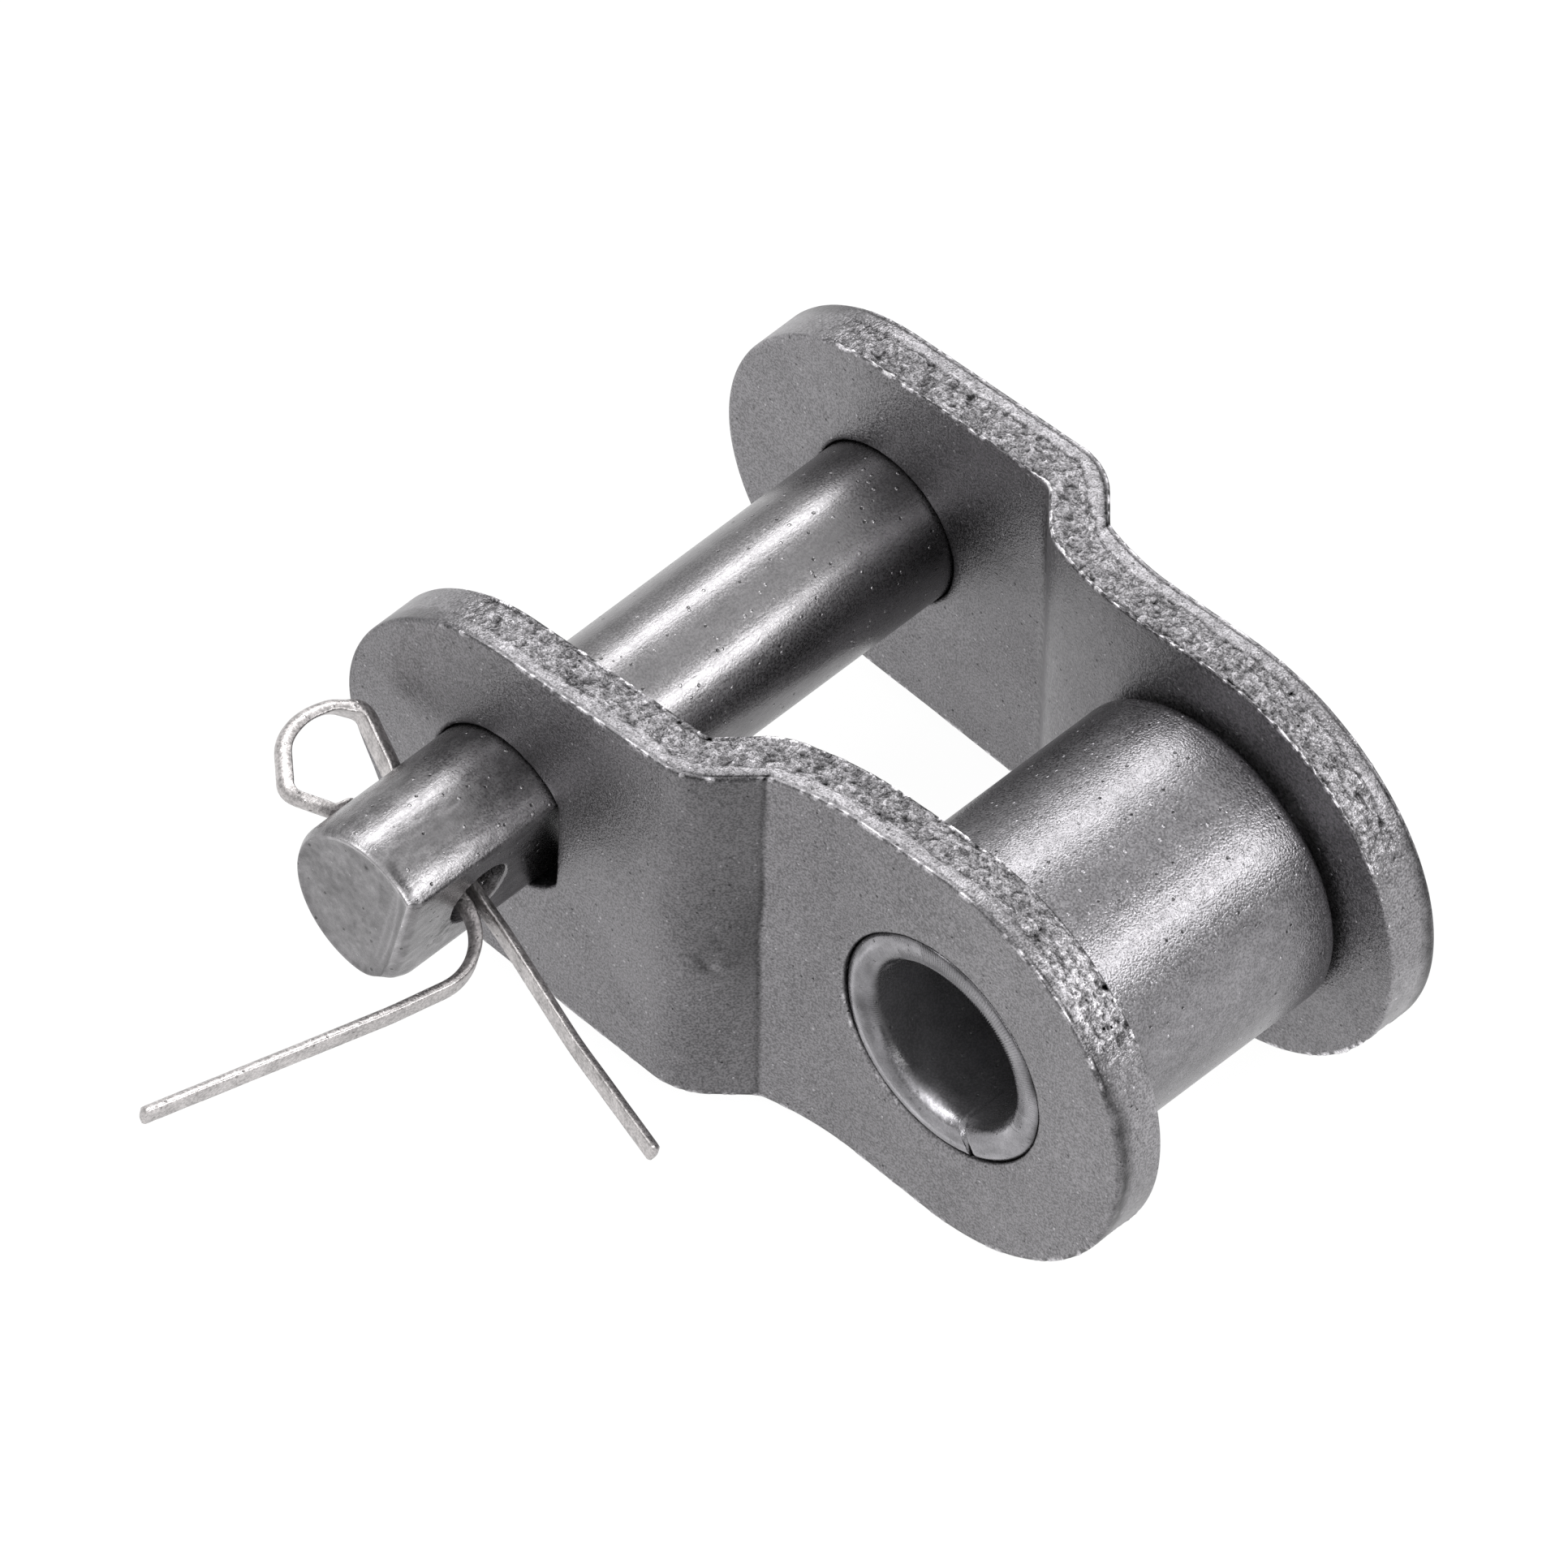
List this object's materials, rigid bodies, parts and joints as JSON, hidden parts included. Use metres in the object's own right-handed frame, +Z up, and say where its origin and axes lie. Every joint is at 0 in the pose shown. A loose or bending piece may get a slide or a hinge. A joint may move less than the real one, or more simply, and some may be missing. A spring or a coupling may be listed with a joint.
{
  "type": "offset chain link",
  "caption": "cranked half link for a roller chain: bent plates pressed on a bush with a free roller, and a flatted pin held by a cotter",
  "frame": {"origin": "middle of the bush bore, halfway between the two plates", "axes": "+X from the link pin's axis to the bush's axis, +Y along the axes to the plate with the round pin hole, +Z up"},
  "size_m": [0.0238, 0.0282, 0.0118],
  "materials": {
    "plate_steel": "heat-treated grey steel, tumbled, sheared edges left coarse",
    "bush_steel": "rolled bright steel, seam open by a hair",
    "roller_steel": "satin tumbled steel with fine pits",
    "pin_steel": "satin drawn steel, sheared end",
    "cotter_steel": "bare bright drawn wire"
  },
  "bodies": {
    "link_frame": {"near_plate": "plate_steel", "far_plate": "plate_steel", "bush": "bush_steel"},
    "roller": {"roller": "roller_steel"},
    "pin": {"link_pin": "pin_steel", "cotter_pin": "cotter_steel"}
  },
  "joints": [
    {"name": "roller_turn", "type": "hinge", "parent": "link_frame", "child": "roller", "pos_m": [0, 0, 0], "axis": [0, 1, 0], "continuous": true},
    {"name": "pin_turn", "type": "hinge", "parent": "link_frame", "child": "pin", "pos_m": [-0.0127, 0, 0], "axis": [0, -1, 0], "range_deg": [-1.3, 26.3]}
  ]
}
